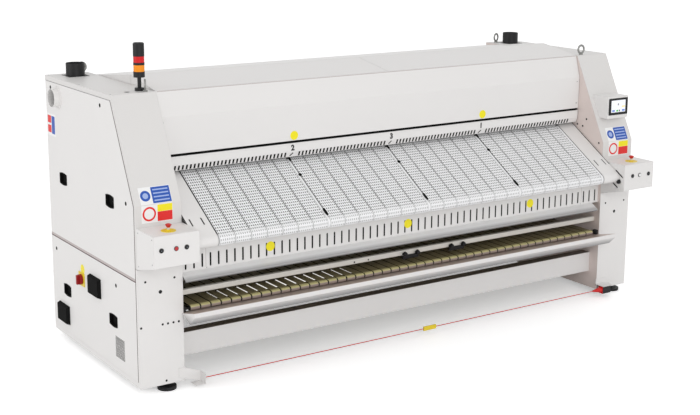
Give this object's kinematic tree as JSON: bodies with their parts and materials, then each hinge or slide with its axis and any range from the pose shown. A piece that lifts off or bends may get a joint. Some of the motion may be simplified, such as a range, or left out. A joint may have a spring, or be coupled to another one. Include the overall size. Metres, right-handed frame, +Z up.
{
  "type": "flatwork ironer",
  "caption": "Industrial flatwork ironer with a heated cylinder, suction feed table, spring-hung finger guard and front exit tray between end cabinets.",
  "frame": {"origin": "on the floor under the middle of the machine's width and of its depth over the control boxes", "axes": "+X along the cylinder to the right as seen from the operator's side, +Y to the rear, +Z up"},
  "size_m": [4.166, 1.627, 2.112],
  "materials": {
    "white_paint": "satin powder coat",
    "black_paint": "satin",
    "motor_grey": "satin",
    "black_plastic": "matt",
    "white_plastic": "gloss",
    "panel_black": "gloss",
    "yellow_plastic": "gloss",
    "red_plastic": "gloss",
    "lens_amber": "gloss, ribbed",
    "rope_red": "gloss",
    "feed_belt_white": "woven, perforated",
    "exit_belt_olive": "woven",
    "ironing_belt_felt": "woven, heat resistant",
    "sheet_steel": "brushed",
    "roller_steel": "turned",
    "cylinder_steel": "polished",
    "zinc_steel": "zinc plated",
    "bezel_metal": "satin",
    "bar_aluminium": "anodised",
    "bearing_iron": "painted"
  },
  "bodies": {
    "machine": {"side_frame_right": "white_paint", "side_frame_left": "white_paint", "end_cover_right": "white_paint", "end_cover_left": "white_paint", "pillar_covers": "white_paint", "side_panels_upper": "white_paint", "side_panels_lower": "white_paint", "panel_fittings": "black_plastic", "rear_cover": "white_paint", "hood_rear": "white_paint", "top_lids": "white_paint", "hood_front": "white_paint", "feed_belts": "feed_belt_white", "suction_box": "sheet_steel", "feed_end_covers": "white_paint", "slotted_apron": "white_paint", "gutter": "sheet_steel", "cross_bar": "bar_aluminium", "exit_belts": "exit_belt_olive", "exit_tray": "white_paint", "cross_beams": "white_paint", "ironing_belts": "ironing_belt_felt", "roller_bearings": "bearing_iron", "gearmotors": "motor_grey", "exhaust_fans": "sheet_steel", "duct_collars": "black_paint", "control_box_right": "white_paint", "control_box_left": "white_paint", "estop_bases": "yellow_plastic", "button_bezels": "bezel_metal", "hmi_housing": "white_paint", "hmi_panel": "panel_black", "main_switch_plate": "yellow_plastic", "tower_body": "black_plastic", "tower_lenses": "lens_amber", "lifting_eyes": "zinc_steel", "levelling_feet": "black_plastic", "rope_brackets": "white_paint", "rope_switch": "black_plastic", "pull_rope": "rope_red", "rope_tag": "yellow_plastic"},
    "cylinder": {"heated_cylinder": "cylinder_steel"},
    "feed_drive": {"feed_drive_roller": "roller_steel"},
    "feed_nose": {"feed_nose_roller": "roller_steel"},
    "press": {"press_roller": "roller_steel"},
    "return": {"return_roller": "roller_steel"},
    "guide": {"guide_roller": "roller_steel"},
    "tension": {"tension_roller": "roller_steel"},
    "exit_nose": {"exit_nose_roller": "roller_steel"},
    "exit_drive": {"exit_drive_roller": "roller_steel"},
    "guard": {"finger_guard": "white_paint"},
    "estop_left": {"estop_head_left": "red_plastic"},
    "estop_right": {"estop_head_right": "red_plastic"},
    "left_outer_button": {"button_left_outer": "black_plastic"},
    "left_stop_button": {"button_left_stop": "red_plastic"},
    "left_inner_button": {"button_left_inner": "black_plastic"},
    "right_inner_button": {"button_right_inner": "black_plastic"},
    "right_start_button": {"button_right_start": "white_plastic"},
    "right_outer_button": {"button_right_outer": "black_plastic"},
    "main_switch": {"main_switch_knob": "red_plastic"}
  },
  "joints": [
    {"name": "cylinder_spin", "type": "hinge", "parent": "machine", "child": "cylinder", "pos_m": [0, 0.17, 1.33], "axis": [1, 0, 0], "continuous": true},
    {"name": "feed_drive_spin", "type": "hinge", "parent": "machine", "child": "feed_drive", "pos_m": [0, -0.17999, 1.28784], "axis": [1, 0, 0], "continuous": true},
    {"name": "feed_nose_spin", "type": "hinge", "parent": "machine", "child": "feed_nose", "pos_m": [0, -0.722, 0.957], "axis": [1, 0, 0], "continuous": true},
    {"name": "press_spin", "type": "hinge", "parent": "machine", "child": "press", "pos_m": [0, -0.09321, 1.55086], "axis": [1, 0, 0], "continuous": true},
    {"name": "return_spin", "type": "hinge", "parent": "machine", "child": "return", "pos_m": [0, -0.12139, 1.14792], "axis": [1, 0, 0], "continuous": true},
    {"name": "guide_spin", "type": "hinge", "parent": "machine", "child": "guide", "pos_m": [0, 0.56, 0.8], "axis": [1, 0, 0], "continuous": true},
    {"name": "tension_spin", "type": "hinge", "parent": "machine", "child": "tension", "pos_m": [0, 0.56, 1.735], "axis": [1, 0, 0], "continuous": true},
    {"name": "exit_nose_spin", "type": "hinge", "parent": "machine", "child": "exit_nose", "pos_m": [0, -0.553, 0.498], "axis": [1, 0, 0], "continuous": true},
    {"name": "exit_drive_spin", "type": "hinge", "parent": "machine", "child": "exit_drive", "pos_m": [0, -0.063, 0.481], "axis": [1, 0, 0], "continuous": true},
    {"name": "guard_swing", "type": "hinge", "parent": "machine", "child": "guard", "pos_m": [0, -0.27, 1.38], "axis": [1, 0, 0], "range_deg": [0, 8], "stiffness_Nm_per_rad": 20, "springref_deg": -8.59},
    {"name": "estop_left_push", "type": "slide", "parent": "machine", "child": "estop_left", "axis": [0, 0, -1], "range_m": [0, 0.004]},
    {"name": "estop_right_push", "type": "slide", "parent": "machine", "child": "estop_right", "axis": [0, 0, -1], "range_m": [0, 0.004]},
    {"name": "left_outer_press", "type": "slide", "parent": "machine", "child": "left_outer_button", "axis": [0, 1, 0], "range_m": [0, 0.003], "stiffness_N_per_m": 300, "springref_m": -0.002},
    {"name": "left_stop_press", "type": "slide", "parent": "machine", "child": "left_stop_button", "axis": [0, 1, 0], "range_m": [0, 0.003], "stiffness_N_per_m": 300, "springref_m": -0.002},
    {"name": "left_inner_press", "type": "slide", "parent": "machine", "child": "left_inner_button", "axis": [0, 1, 0], "range_m": [0, 0.003], "stiffness_N_per_m": 300, "springref_m": -0.002},
    {"name": "right_inner_press", "type": "slide", "parent": "machine", "child": "right_inner_button", "axis": [0, 1, 0], "range_m": [0, 0.003], "stiffness_N_per_m": 300, "springref_m": -0.002},
    {"name": "right_start_press", "type": "slide", "parent": "machine", "child": "right_start_button", "axis": [0, 1, 0], "range_m": [0, 0.003], "stiffness_N_per_m": 300, "springref_m": -0.002},
    {"name": "right_outer_press", "type": "slide", "parent": "machine", "child": "right_outer_button", "axis": [0, 1, 0], "range_m": [0, 0.003], "stiffness_N_per_m": 300, "springref_m": -0.002},
    {"name": "main_switch_turn", "type": "hinge", "parent": "machine", "child": "main_switch", "pos_m": [-2.06, 0.29, 0.527], "axis": [-1, 0, 0], "range_deg": [0, 90]}
  ],
  "couplings": [
    {"joint": "feed_drive_spin", "follows": "cylinder_spin", "ratio": 7.6923},
    {"joint": "feed_nose_spin", "follows": "cylinder_spin", "ratio": 7.6923},
    {"joint": "press_spin", "follows": "cylinder_spin", "ratio": -7.5},
    {"joint": "return_spin", "follows": "cylinder_spin", "ratio": -7.5},
    {"joint": "guide_spin", "follows": "cylinder_spin", "ratio": -7.5},
    {"joint": "tension_spin", "follows": "cylinder_spin", "ratio": -7.5},
    {"joint": "exit_nose_spin", "follows": "cylinder_spin", "ratio": -17.647},
    {"joint": "exit_drive_spin", "follows": "cylinder_spin", "ratio": -8.8235}
  ]
}
